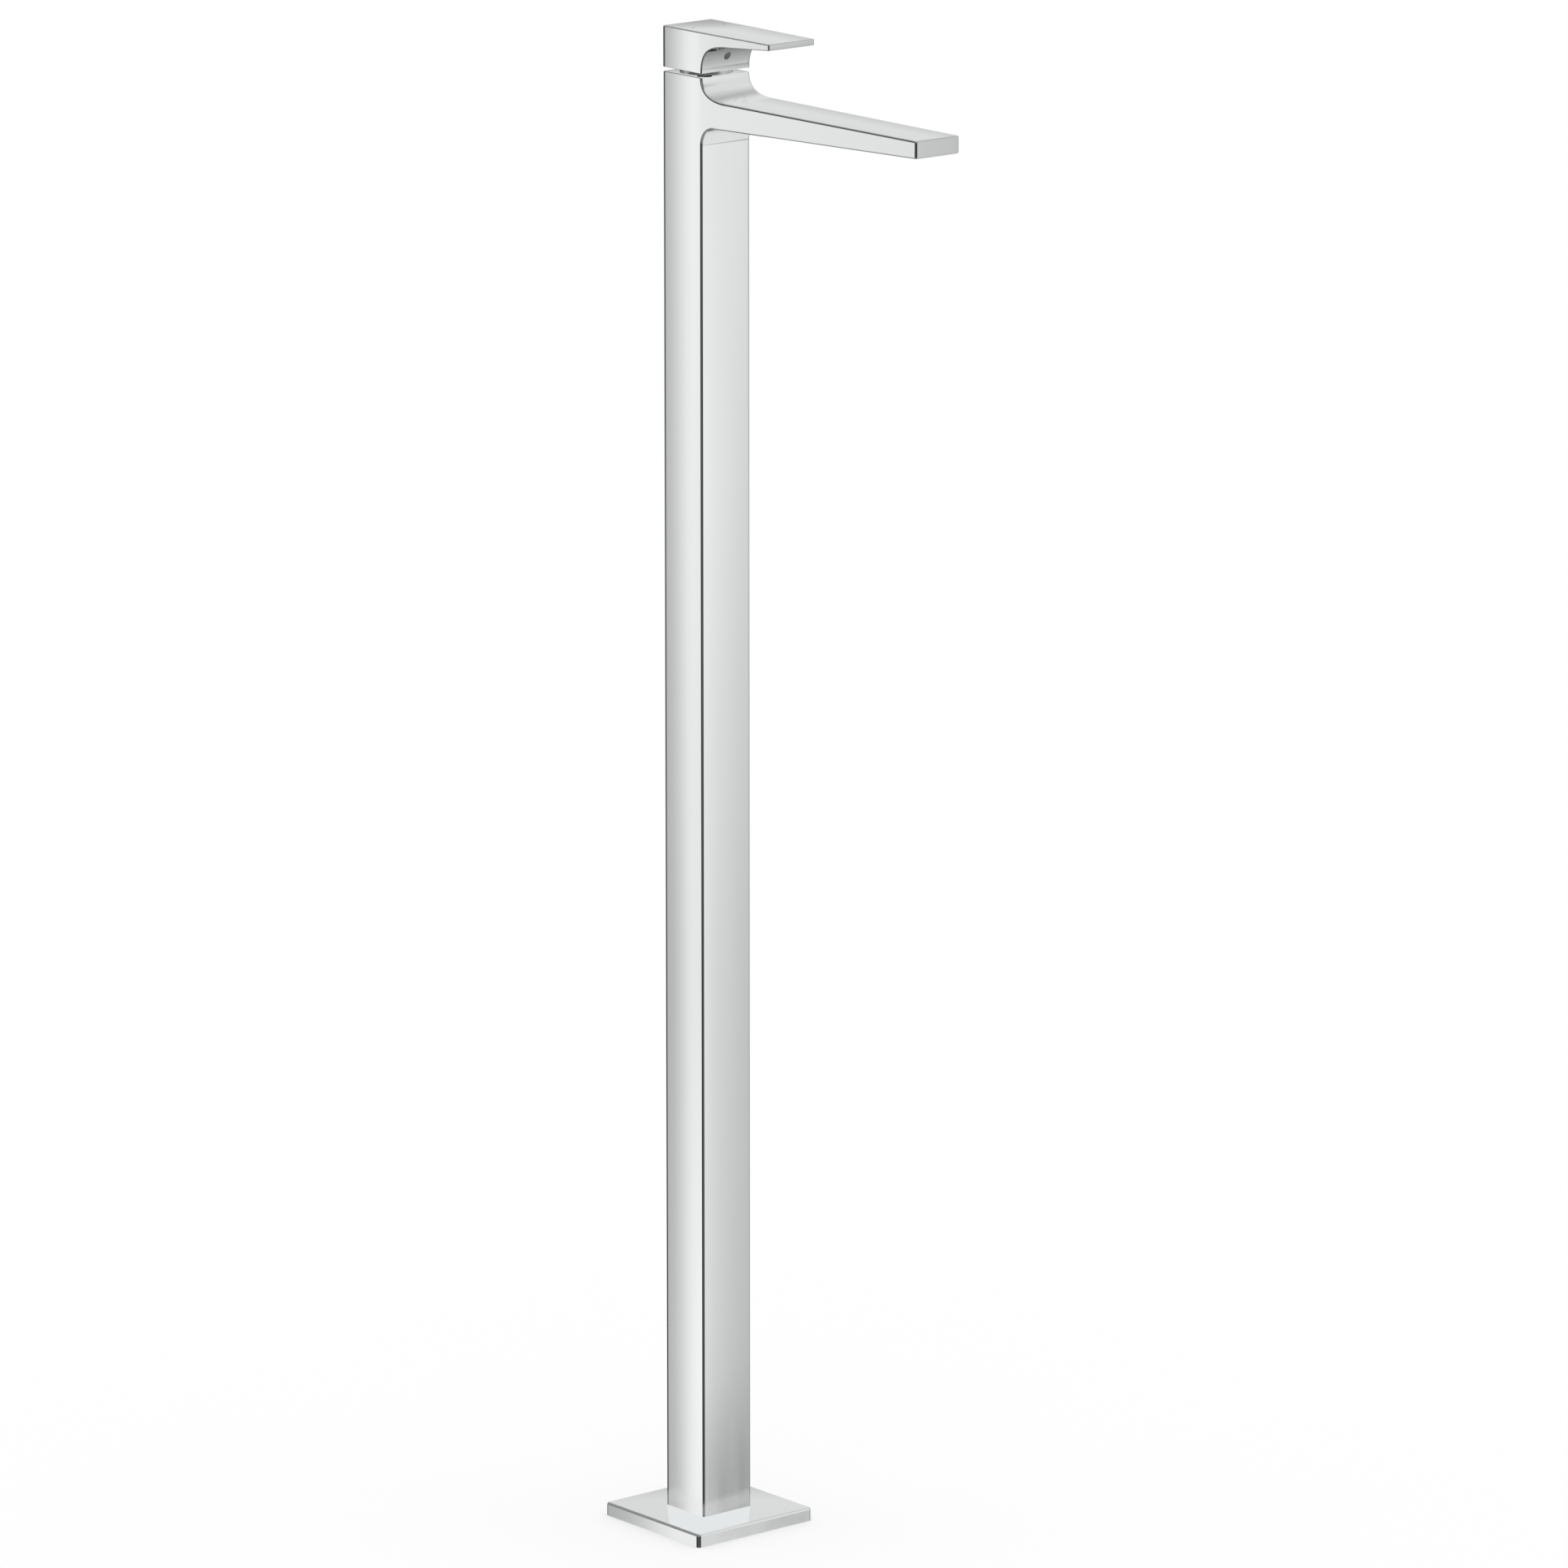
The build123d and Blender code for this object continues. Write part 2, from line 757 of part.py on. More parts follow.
def stem_turret():
    # The carrier that swings in the housing and holds the pivot pin
    flange_top = lip_bottom - turret_gap
    flange = upright(housing_bore_radius - turret_flange_gap, turret_bottom, flange_top)
    travel = swing_limit + stop_half_angle + stop_margin
    flange -= sector(housing_bore_radius, travel, turret_bottom, flange_top) - upright(
        turret_hub_radius, turret_bottom, flange_top
    )
    turret = flange + upright(turret_hub_radius, turret_bottom, turret_top)
    turret -= driver_rail(rail_gap)
    turret -= stem_slot()
    return turret - along_x(pin_radius + pin_press, housing_bore_radius, pivot_setback, pivot_height)


def pivot_pin():
    half_length = math.sqrt(turret_hub_radius**2 - pivot_setback**2) - turret_gap
    return along_x(pin_radius, half_length, pivot_setback, pivot_height)


def lever_stem():
    # The stem: a ball at its foot, an eye round the pin and a square shank in the lever
    front_y = pivot_setback - stem_forward - stem_depth / 2
    back_y = front_y + stem_depth
    neck = pivot_height + stem_neck_height
    top = lever_bottom + stem_top
    half = stem_width / 2
    eye = along_x(stem_eye_radius, half, pivot_setback, pivot_height)
    outline = chain(
        [
            (pivot_setback - stem_eye_radius, pivot_height),
            (front_y, neck),
            (front_y, top),
            (back_y, top),
            (back_y, neck),
            (pivot_setback + stem_eye_radius, pivot_height),
        ]
    )
    stem = eye + side_slab(outline, half)
    stem += upright(stem_arm_radius, ball_centre, pivot_height, 0, pivot_setback)
    stem += Pos(0, pivot_setback, ball_centre) * Sphere(ball_radius)
    return stem - along_x(pin_radius + pin_gap, half, pivot_setback, pivot_height)


def cartridge_nut():
    # The brass ring that presses the cartridge down, with a hexagon for the spanner
    body = upright(nut_radius, nut_bottom, nut_top)
    body += hexagon(nut_hex_flats, nut_top, nut_top + nut_hex_height)
    return body - upright(nut_bore_radius, nut_bottom, nut_top + nut_hex_height)


def collar():
    # The chromed sleeve over the nut, which shows in the slit under the lever
    top = lever_bottom - collar_below_lever
    sleeve = upright(collar_radius, nut_top, top)
    sleeve = fillet(sleeve.edges().group_by(Axis.Z)[-1], collar_edge_radius)
    sleeve -= upright(collar_radius - collar_wall, nut_top, top - collar_roof)
    return sleeve - upright(turret_hub_radius + collar_hub_gap, nut_top, top)


def lever_side_view():
    # The lever's side view: a thick root over the head and a thin blade towards the user
    throat_end = front - lever_throat_length
    throat_top = lever_bottom + lever_throat_rise
    tip_bottom = lever_top - lever_tip_thickness
    slope = (tip_bottom - throat_top) / (lever_reach - lever_throat_length)
    throat = Bezier(
        (front, lever_bottom),
        (front, lever_bottom + lever_throat_steepness),
        (throat_end + lever_throat_flatness, throat_top - slope * lever_throat_flatness),
        (throat_end, throat_top),
    )
    rest = Polyline(
        (throat_end, throat_top),
        (lever_tip, tip_bottom),
        (lever_tip, lever_top),
        (half_depth, lever_top),
        (half_depth, lever_bottom),
        (front, lever_bottom),
    )
    return [throat, rest]


def lever_outside():
    plan = tapered_plan(lever_tip, lever_tip_width, lever_bottom, lever_top)
    form = side_slab(lever_side_view(), column_width) & plan
    foot = form.edges().group_by(Axis.Z)[0]
    form = fillet(ShapeList(form.edges()) - foot, lever_edge_radius)
    rim = form.edges().group_by(Axis.Z)[0]
    return fillet(rim, lever_rim_radius)


def lever_handle():
    # The lever casting: hollow over the cartridge, with a boss that takes the stem
    handle = lever_outside()
    hollow = block(
        -half_width + lever_wall,
        half_width - lever_wall,
        front + lever_front_wall,
        half_depth - lever_back_wall,
        lever_bottom,
        lever_top - lever_roof,
    )
    boss = block(
        -boss_half_width,
        boss_half_width,
        front + lever_front_wall,
        boss_back,
        lever_bottom + boss_lift,
        lever_top - lever_roof,
    )
    handle -= hollow - boss
    shank = pivot_setback - stem_forward
    half_hole_depth = stem_depth / 2 + stem_hole_gap
    half_hole_width = stem_width / 2 + stem_hole_gap
    handle -= block(
        -half_hole_width,
        half_hole_width,
        shank - half_hole_depth,
        shank + half_hole_depth,
        lever_bottom,
        lever_bottom + stem_top + stem_hole_gap,
    )
    screw_z = lever_bottom + screw_height
    handle -= along_y(screw_radius + screw_hole_gap, front - lever_throat_length, shank, screw_z)
    handle -= along_y(plug_radius + plug_gap, front - lever_throat_length, plug_seat(), screw_z)
    for side in sides:
        handle -= upright(
            mark_radius + mark_gap, lever_top - mark_depth, lever_top, side * mark_offset, -mark_forward
        )
    return handle


def plug_seat():
    return front - plug_gap + plug_depth / 2


def grub_screw():
    # The headless screw that bears on the stem, with a round key socket in its front end
    stem_face = pivot_setback - stem_forward - stem_depth / 2
    start = stem_face - screw_length
    screw = along_y(screw_radius, start, stem_face, lever_bottom + screw_height)
    return screw - along_y(screw_key_radius, start, start + screw_key_depth, lever_bottom + screw_height)


def screw_plug():
    # The plug over the screw hole, cut flush with the hollow of the lever
    blank = along_y(plug_radius, front - plug_depth * 2, plug_seat(), lever_bottom + screw_height)
    return blank & side_slab(lever_side_view(), column_width)


def mark(side):
    # One round dot, let into the lever's top
    return upright(mark_radius, lever_top - mark_depth, lever_top, side * mark_offset, -mark_forward)


nodes = {
    "foot_plate": foot_plate,
    "plate_screws": plate_screws,
    "inlet_block": inlet_block,
    "cover_flange": cover_flange,
    "column_gasket": column_gasket,
    "column_tube": column_tube,
    "hot_riser": lambda: riser(-1),
    "cold_riser": lambda: riser(1),
    "riser_seals": riser_seals,
    "tie_rods": tie_rods,
    "tie_rod_nuts": tie_rod_nuts,
    "pipe_spacers": pipe_spacers,
    "spout_body": spout_body,
    "aerator_housing": aerator_housing,
    "aerator_insert": aerator_insert,
    "aerator_seal": aerator_seal,
    "cartridge_base": cartridge_base,
    "base_seals": base_seals,
    "disc_gasket": disc_gasket,
    "fixed_disc": fixed_disc,
    "cartridge_housing": cartridge_housing,
    "cartridge_nut": cartridge_nut,
    "collar": collar,
    "moving_disc": moving_disc,
    "disc_driver": disc_driver,
    "stem_turret": stem_turret,
    "pivot_pin": pivot_pin,
    "lever_stem": lever_stem,
    "lever_handle": lever_handle,
    "grub_screw": grub_screw,
    "screw_plug": screw_plug,
    "hot_mark": lambda: mark(-1),
    "cold_mark": lambda: mark(1),
}

os.makedirs("parts", exist_ok=True)
for name, make in nodes.items():
    export_step(make(), f"parts/{name}.step")
    print("wrote", name)
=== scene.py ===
# %% [markdown]
# # A floor-standing basin mixer in polished chrome
# A tall rectangular column carries a cast head with a long flat spout and a flat lever.
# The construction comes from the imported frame, in metres, and stays exactly where it is.
# This file gives every piece its real finish, adds the small machined detail, and sets up
# the camera and a plain white studio.

# %% Load the frame
import math

import bpy
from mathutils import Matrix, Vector


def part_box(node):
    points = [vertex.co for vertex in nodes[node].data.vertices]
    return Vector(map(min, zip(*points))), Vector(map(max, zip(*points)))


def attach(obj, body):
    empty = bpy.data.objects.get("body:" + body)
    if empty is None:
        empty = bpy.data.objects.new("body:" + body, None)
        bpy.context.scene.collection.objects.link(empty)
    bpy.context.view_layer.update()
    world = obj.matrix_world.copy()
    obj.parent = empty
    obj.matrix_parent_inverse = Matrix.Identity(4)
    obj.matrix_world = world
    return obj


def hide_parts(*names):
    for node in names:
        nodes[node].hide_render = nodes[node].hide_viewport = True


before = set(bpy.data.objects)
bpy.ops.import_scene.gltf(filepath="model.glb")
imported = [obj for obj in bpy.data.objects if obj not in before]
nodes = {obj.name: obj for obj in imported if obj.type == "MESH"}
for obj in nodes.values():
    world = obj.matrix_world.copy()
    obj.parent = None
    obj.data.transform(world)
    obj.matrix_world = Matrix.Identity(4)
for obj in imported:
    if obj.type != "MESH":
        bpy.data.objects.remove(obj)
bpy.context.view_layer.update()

# %% [markdown]
# ## Two helpers
# Paint charts give colours as sRGB hex values, and the renderer wants linear light, so one
# function turns the one into the other. Materials are node trees, and one more function
# adds a node with its settings and its links in a single call. A third lays a colour ramp
# over a socket. A noise keeps near its middle, so the finishes use only that span of it.

# %% Colour and node helpers
NOISE_SPAN = {"From Min": 0.3, "From Max": 0.7}


def linear(hex_colour):
    """An sRGB hex colour as linear red, green, blue and alpha."""
    channels = [int(hex_colour[i : i + 2], 16) / 255 for i in (0, 2, 4)]
    curved = [c / 12.92 if c <= 0.04045 else ((c + 0.055) / 1.055) ** 2.4 for c in channels]
    return (*curved, 1.0)


def add(tree, kind, links=None, values=None, **settings):
    """One node: its settings, its sockets' values, and links from other nodes' sockets."""
    node = tree.nodes.new(kind)
    for name, value in settings.items():
        setattr(node, name, value)
    for socket, value in (values or {}).items():
        node.inputs[socket].default_value = value
    for socket, source in (links or {}).items():
        tree.links.new(source, node.inputs[socket])
    return node


def ramp(tree, source, stops):
    """The colours of these stops, each a place from 0 to 1 and a colour, laid over the source."""
    made = add(tree, "ShaderNodeValToRGB", links={0: source})
    held = made.color_ramp.elements
    for i, (place_on_ramp, colour) in enumerate(stops):
        stop = held[i] if i < 2 else held.new(place_on_ramp)
        stop.position = place_on_ramp
        stop.color = colour
    return made.outputs[0]


# %% [markdown]
# ## Camera
# The photograph was taken from far away with a long lens, a little above the top of the
# column and off its front left corner. The place and the angle of view were worked out
# from the corners of the foot, the column and the spout.

# %% Camera
camera_place = Vector((-4.78388, -5.83277, 2.33520))
camera_turn = -39.7874
camera_dip = 13.1943
focal_length = 240.40

bpy.ops.object.select_all(action="DESELECT")
bpy.ops.object.camera_add(
    location=camera_place,
    rotation=(math.radians(90 - camera_dip), 0, math.radians(camera_turn)),
)
camera = bpy.context.object
camera.data.sensor_width = 36.0
camera.data.lens = focal_length
bpy.context.scene.camera = camera
bpy.context.scene.view_settings.view_transform = "Standard"
print("camera at", tuple(camera_place))

# %% [markdown]
# ## Studio
# Chrome has almost no colour of its own: it shows the room. A product photographer hangs
# white cloths at both sides and leaves gaps, so that faces turn pale and edges stay dark.
# The world holds that room as a map: one row for each height of the view, which is the Z of
# its direction, and in each row the brightness round the horizon, in degrees from +X by way
# of +Y. Lens rays see plain white. A reflection of a reflection meets one even, nearly white
# light, as in a room full of soft cloth. The gaps that several rows share have names.

# %% The room as a map
GAP_LEFT = [(88, 0.04), (108, 0.06), (118, 0.34)]
GAP_BEHIND_CAMERA = [(146, 0.03), (200, 0.03), (225, 0.15), (250, 0.03), (288, 0.04)]
HALF_DARK = [(150, 0.07), (225, 0.26), (288, 0.09)]
ROOM = [
    (-0.7500, [(0, 0.76), (60, 0.60), (100, 0.25), (225, 0.28), (290, 0.30), (310, 0.80), (345, 0.80)]
     + [(360, 0.76)]),
    (-0.6000, [(0, 0.70), (60, 0.60), (100, 0.25), (225, 0.28), (290, 0.30), (303, 0.80), (330, 0.80)]
     + [(360, 0.70)]),
    (-0.4000, [(0, 0.30), (60, 0.25), (110, 0.16), (130, 0.45), (138, 0.50), *HALF_DARK]
     + [(303, 0.82), (316, 0.80), (330, 0.76), (360, 0.55)]),
    (-0.2985, [(0, 0.30), (60, 0.25), *GAP_LEFT, (121.5, 0.46), (125.2, 0.55), (128.1, 0.69), (131.1, 0.86)]
     + [(134, 0.90), (136.6, 0.90), (140, 0.80), *GAP_BEHIND_CAMERA, (298, 0.84), (320, 0.82), (335, 0.60)]
     + [(360, 0.30)]),
    (-0.2945, [(0, 0.30), (60, 0.25), *GAP_LEFT, (121.5, 0.46), (125.2, 0.53), (128.1, 0.67), (131.1, 0.86)]
     + [(134, 0.96), (136.6, 0.97), (140, 0.80), *GAP_BEHIND_CAMERA, (298, 0.46), (302.3, 0.46)]
     + [(304.9, 0.40), (308, 0.35), (311.2, 0.30), (314.4, 0.25), (317.6, 0.27), (335, 0.30), (360, 0.30)]),
    (-0.2820, [(0, 0.45), (60, 0.40), *GAP_LEFT, (121.5, 0.48), (125.2, 0.58), (128.1, 0.72), (131.1, 0.88)]
     + [(134, 0.98), (136.6, 1.00), (140, 0.84), *GAP_BEHIND_CAMERA, (298, 0.80), (302.3, 0.80)]
     + [(304.9, 0.72), (308, 0.66), (311.2, 0.62), (314.4, 0.58), (317.6, 0.55), (335, 0.45), (360, 0.45)]),
    (-0.2457, [(0, 0.50), (60, 0.45), *GAP_LEFT, (121.5, 0.47), (125.2, 0.54), (128.1, 0.67), (131.1, 0.84)]
     + [(134, 0.88), (136.6, 0.85), (140, 0.78), *GAP_BEHIND_CAMERA, (298, 0.86), (302.3, 0.83)]
     + [(304.9, 0.75), (308, 0.70), (311.2, 0.66), (314.4, 0.61), (317.6, 0.58), (335, 0.45), (360, 0.50)]),
    (-0.2000, [(0, 0.55), (60, 0.50), *GAP_LEFT, (121.5, 0.50), (125.2, 0.61), (128.1, 0.75), (131.1, 0.90)]
     + [(134, 0.93), (136.6, 0.88), (140, 0.78), *GAP_BEHIND_CAMERA, (297, 0.93), (302.3, 0.92)]
     + [(304.9, 0.88), (308, 0.83), (311.2, 0.79), (314.4, 0.74), (317.6, 0.71), (335, 0.45), (360, 0.55)]),
    (-0.1660, [(0, 0.55), (60, 0.45), *GAP_LEFT, (121.5, 0.48), (125.2, 0.63), (128.1, 0.77), (131.1, 0.90)]
     + [(134, 0.96), (136.6, 0.93), (140, 0.80), *GAP_BEHIND_CAMERA, (297, 0.86), (302.3, 0.87), (308, 0.84)]
     + [(314.4, 0.83), (317.6, 0.79), (325, 0.60), (335, 0.50), (360, 0.55)]),
    (0.0500, [(0, 0.50), (50, 0.46), (70, 0.30), (86, 0.04), (118, 0.05), (130, 0.40), (140, 0.45)]
     + [*HALF_DARK, (297, 0.84), (308, 0.82), (325, 0.74), (360, 0.50)]),
    (0.1600, [(0, 0.55), (50, 0.60), (80, 0.42), (98, 0.30), (108, 0.03), (130, 0.03), *HALF_DARK]
     + [(298, 0.82), (330, 0.74), (360, 0.55)]),
    (0.2650, [(0, 0.60), (50, 0.78), (76, 0.58), (94, 0.44), (106, 0.03), (130, 0.03), *HALF_DARK]
     + [(300, 0.80), (330, 0.72), (360, 0.60)]),
    (0.4200, [(0, 0.62), (45, 0.76), (60, 0.74), (74, 0.60), (88, 0.42), (100, 0.04), (128, 0.04)]
     + [*HALF_DARK, (312, 0.78), (335, 0.72), (360, 0.62)]),
    (0.6500, [(0, 0.72), (20, 0.56), (40, 0.44), (60, 0.46), (80, 0.16), (125, 0.14), *HALF_DARK]
     + [(314, 0.78), (345, 0.78), (360, 0.72)]),
    (0.8000, [(0, 0.70), (60, 0.44), (180, 0.50), (320, 0.76), (345, 0.76), (360, 0.70)]),
]
EVEN_LIGHT = 0.95
print("rows in the room", len(ROOM))

# %% World
world = bpy.data.worlds.new("white_studio")
bpy.context.scene.world = world
world.use_nodes = True
tree = world.node_tree
tree.nodes.clear()

place = add(tree, "ShaderNodeTexCoord")
axes = add(tree, "ShaderNodeSeparateXYZ", links={0: place.outputs["Generated"]})
angle = add(tree, "ShaderNodeMath", links={0: axes.outputs["Y"], 1: axes.outputs["X"]}, operation="ARCTAN2")
turned = add(
    tree,
    "ShaderNodeMath",
    links={0: angle.outputs[0]},
    values={1: 1 / (2 * math.pi), 2: 1.0},
    operation="MULTIPLY_ADD",
)
share = add(tree, "ShaderNodeMath", links={0: turned.outputs[0]}, operation="FRACT")


def horizon(row):
    """A ramp that holds one row of the room."""
    stops = [(degrees / 360, (bright, bright, bright, 1)) for degrees, bright in row]
    return ramp(tree, share.outputs[0], stops)


below, first_row = ROOM[0]
room = horizon(first_row)
for height, row in ROOM[1:]:
    raised = add(
        tree,
        "ShaderNodeMapRange",
        links={"Value": axes.outputs["Z"]},
        values={"From Min": below, "From Max": height},
    )
    mixed = add(
        tree,
        "ShaderNodeMix",
        links={"Factor": raised.outputs[0], 6: room, 7: horizon(row)},
        data_type="RGBA",
    )
    room = mixed.outputs[2]
    below = height

PAST_FIRST_MIRROR = 1.5
ray = add(tree, "ShaderNodeLightPath")
again = add(
    tree,
    "ShaderNodeMath",
    links={0: ray.outputs["Glossy Depth"]},
    values={1: PAST_FIRST_MIRROR},
    operation="GREATER_THAN",
)
soft = add(
    tree,
    "ShaderNodeMix",
    links={"Factor": again.outputs[0], 6: room},
    values={7: (EVEN_LIGHT, EVEN_LIGHT, EVEN_LIGHT, 1)},
    data_type="RGBA",
)
seen = add(
    tree,
    "ShaderNodeMix",
    links={"Factor": ray.outputs["Is Glossy Ray"], 7: soft.outputs[2]},
    values={6: (1, 1, 1, 1)},
    data_type="RGBA",
)
light = add(tree, "ShaderNodeBackground", links={"Color": seen.outputs[2]}, values={"Strength": 1.0})
add(tree, "ShaderNodeOutputWorld", links={"Surface": light.outputs[0]})
print("world nodes", len(tree.nodes))

# %% [markdown]
# ## Floor
# A white sheet just under the foot, large enough for the soft shadow round it. Lens rays see it
# partly as lit paper, so that only some of the shadow is left, as in the photograph. Mirror
# rays go through it to the room, as they would pass by a small sheet on a studio's table.

# %% Floor
FLOOR_SIDE = 6.0
SHADOW_KEPT = 0.45
FLOOR_BELOW = 0.0003
bpy.ops.object.select_all(action="DESELECT")
bpy.ops.mesh.primitive_plane_add(size=FLOOR_SIDE, location=(0, 0, -FLOOR_BELOW))
floor = bpy.context.object
floor.name = "floor"
paper = bpy.data.materials.new("white_paper")
paper.use_nodes = True
tree = paper.node_tree
tree.nodes.clear()
matte = add(tree, "ShaderNodeBsdfDiffuse", values={"Color": (1, 1, 1, 1)})
white = add(tree, "ShaderNodeEmission", values={"Color": (1, 1, 1, 1), "Strength": 1.0})
clear = add(tree, "ShaderNodeBsdfTransparent")
ray = add(tree, "ShaderNodeLightPath")
lit = add(
    tree,
    "ShaderNodeMath",
    links={0: ray.outputs["Is Camera Ray"]},
    values={1: 1 - SHADOW_KEPT},
    operation="MULTIPLY",
)
sheet = add(tree, "ShaderNodeMixShader", links={0: lit.outputs[0], 1: matte.outputs[0], 2: white.outputs[0]})
blend = add(
    tree,
    "ShaderNodeMixShader",
    links={0: ray.outputs["Is Glossy Ray"], 1: sheet.outputs[0], 2: clear.outputs[0]},
)
add(tree, "ShaderNodeOutputMaterial", links={"Surface": blend.outputs[0]})
floor.data.materials.append(paper)
print("floor side", FLOOR_SIDE)

# %% [markdown]
# ## How the pieces meet mirror rays
# In the photograph the spout shows the white cloths and hardly the lever above it, because the
# cloths are far brighter than any second reflection. So a ray that already left a mirror passes
# through most of the next piece, and only a soft trace of that piece is left in the chrome. The
# column's tube lets none through, so that the inside of the mixer never shows.

# %% Empty material and its output
MIRROR_RAYS_THROUGH = 0.93
LEVER_RAYS_THROUGH = 0.97


def material(name):
    """An empty material, with its tree."""
    made = bpy.data.materials.new(name)
    made.use_nodes = True
    made.node_tree.nodes.clear()
    return made, made.node_tree


def show(tree, shader, let_through):
    """Sends the shader to the surface, with this share of the mirror rays let through."""
    ray = add(tree, "ShaderNodeLightPath")
    through = add(
        tree,
        "ShaderNodeMath",
        links={0: ray.outputs["Is Glossy Ray"]},
        values={1: let_through},
        operation="MULTIPLY",
    )
    clear = add(tree, "ShaderNodeBsdfTransparent")
    faced = add(
        tree,
        "ShaderNodeMixShader",
        links={0: through.outputs[0], 1: shader.outputs[0], 2: clear.outputs[0]},
    )
    add(tree, "ShaderNodeOutputMaterial", links={"Surface": faced.outputs[0]})


def dress(made, *names):
    """Gives the named nodes this material."""
    for name in names:
        for held in nodes[name].material_slots:
            held.material = made
    print(made.name, "on", ", ".join(names))


# %% [markdown]
# ## Bright chrome
# The visible castings, the tube and the cover are brass and steel under bright chrome. The
# plating is a mirror with a faint haze, and the polishing wheel leaves each flat face a
# little crowned, so that a reflection runs from light to dark across it. Towards the far
# edges the wheel takes a little more off, and there the reflection falls into the dark.
# The crown could be modelled, but it is a hundredth of a millimetre, so it is bent into the
# shading normal by the place on the piece.
# The rounded rims of the lever and the cover get more haze, and give a soft light instead of
# a sharp line. The lever's front and the spout's tip would mirror the dark pieces near them,
# where mirror rays hardly stop, so that reflection is painted into the plating's colour as a
# painted shade: darker on the lever by its height and on the spout's tip by its reach.

# %% Bright chrome
CHROME = "f3f5f5"
CROWN = 0.07
ROLL_START = Vector((0.0206, 0.0190, 10.0))
ROLL_REACH = 0.0016
ROLL_PER_METRE = 140.0
MARKS_PER_METRE = 60.0
ROUNDED_SPAN = {"From Min": 0.02, "From Max": 0.20}
IN_FRONT_SPAN = {"From Min": -0.1, "From Max": -0.4}


def wheel_polished_chrome(name, haze, streak, reach, roll, let_through, rim=0.0, along="Z", painted_shade=()):
    """Bright chrome: its haze, how far marks stretch along Z, half a face's width, the roll of the
    edges, the share of mirror rays let through, the rims' extra haze, and a painted shade on the
    front faces along an axis: a painted reflection of what they would mirror if mirror rays
    stopped at the next piece."""
    made, tree = material(name)
    place = add(tree, "ShaderNodeTexCoord")
    point = place.outputs["Object"]
    low = add(
        tree,
        "ShaderNodeVectorMath",
        links={0: point},
        values={1: (-reach, -reach, 0)},
        operation="MAXIMUM",
    )
    inside = add(
        tree,
        "ShaderNodeVectorMath",
        links={0: low.outputs[0]},
        values={1: (reach, reach, 0)},
        operation="MINIMUM",
    )
    past = add(tree, "ShaderNodeVectorMath", links={0: point}, values={1: ROLL_START}, operation="SUBTRACT")
    far = add(
        tree,
        "ShaderNodeVectorMath",
        links={0: past.outputs[0]},
        values={1: (0, 0, 0)},
        operation="MAXIMUM",
    )
    edge = add(
        tree,
        "ShaderNodeVectorMath",
        links={0: far.outputs[0]},
        values={1: (ROLL_REACH, ROLL_REACH, 0)},
        operation="MINIMUM",
    )
    shape = add(tree, "ShaderNodeNewGeometry")
    crown = CROWN / reach
    crowned = add(
        tree,
        "ShaderNodeVectorMath",
        links={0: inside.outputs[0], 2: shape.outputs["Normal"]},
        values={1: (crown, crown, 0)},
        operation="MULTIPLY_ADD",
    )
    rolled = add(
        tree,
        "ShaderNodeVectorMath",
        links={0: edge.outputs[0], 2: crowned.outputs[0]},
        values={1: (roll, roll, 0)},
        operation="MULTIPLY_ADD",
    )
    even = add(tree, "ShaderNodeVectorMath", links={0: rolled.outputs[0]}, operation="NORMALIZE")
    drawn = add(tree, "ShaderNodeMapping", links={"Vector": point}, values={"Scale": (1, 1, 1 / streak)})
    marks = add(
        tree,
        "ShaderNodeTexNoise",
        links={"Vector": drawn.outputs[0]},
        values={"Scale": MARKS_PER_METRE, "Detail": 3.0},
    )
    rough = add(
        tree,
        "ShaderNodeMapRange",
        links={"Value": marks.outputs["Fac"]},
        values={**NOISE_SPAN, "To Min": haze[0], "To Max": haze[1]},
    )
    facing = add(tree, "ShaderNodeSeparateXYZ", links={0: shape.outputs["Normal"]})
    aside = add(tree, "ShaderNodeMath", links={0: facing.outputs["X"]}, operation="ABSOLUTE")
    rounded = add(
        tree,
        "ShaderNodeMath",
        links={0: aside.outputs[0], 1: facing.outputs["Z"]},
        operation="MULTIPLY",
    )
    softer = add(
        tree,
        "ShaderNodeMapRange",
        links={"Value": rounded.outputs[0]},
        values={**ROUNDED_SPAN, "To Max": rim},
    )
    hazy = add(tree, "ShaderNodeMath", links={0: rough.outputs[0], 1: softer.outputs[0]}, operation="ADD")
    metal = add(
        tree,
        "ShaderNodeBsdfPrincipled",
        links={"Roughness": hazy.outputs[0], "Normal": even.outputs[0]},
        values={"Base Color": linear(CHROME), "Metallic": 1.0},
    )
    # Painted shade: the plating's colour on the front faces is darkened along an axis, a painted reflection
    # of the dark pieces near them.
    if painted_shade:
        spot = add(tree, "ShaderNodeSeparateXYZ", links={0: point})
        lowest, highest = painted_shade[0][0], painted_shade[-1][0]
        risen = add(
            tree,
            "ShaderNodeMapRange",
            links={"Value": spot.outputs[along]},
            values={"From Min": lowest, "From Max": highest},
        )
        stops = []
        for height, tone in painted_shade:
            painted_shade_colour = (*(tone * channel for channel in linear(CHROME)[:3]), 1)
            stops.append(((height - lowest) / (highest - lowest), painted_shade_colour))
        in_front = add(
            tree,
            "ShaderNodeMapRange",
            links={"Value": facing.outputs["Y"]},
            values=IN_FRONT_SPAN,
        )
        plating_with_painted_shade = add(
            tree,
            "ShaderNodeMix",
            links={"Factor": in_front.outputs[0], 7: ramp(tree, risen.outputs[0], stops)},
            values={6: linear(CHROME)},
            data_type="RGBA",
        )
        tree.links.new(plating_with_painted_shade.outputs[2], metal.inputs["Base Color"])
    show(tree, metal, let_through)
    return made


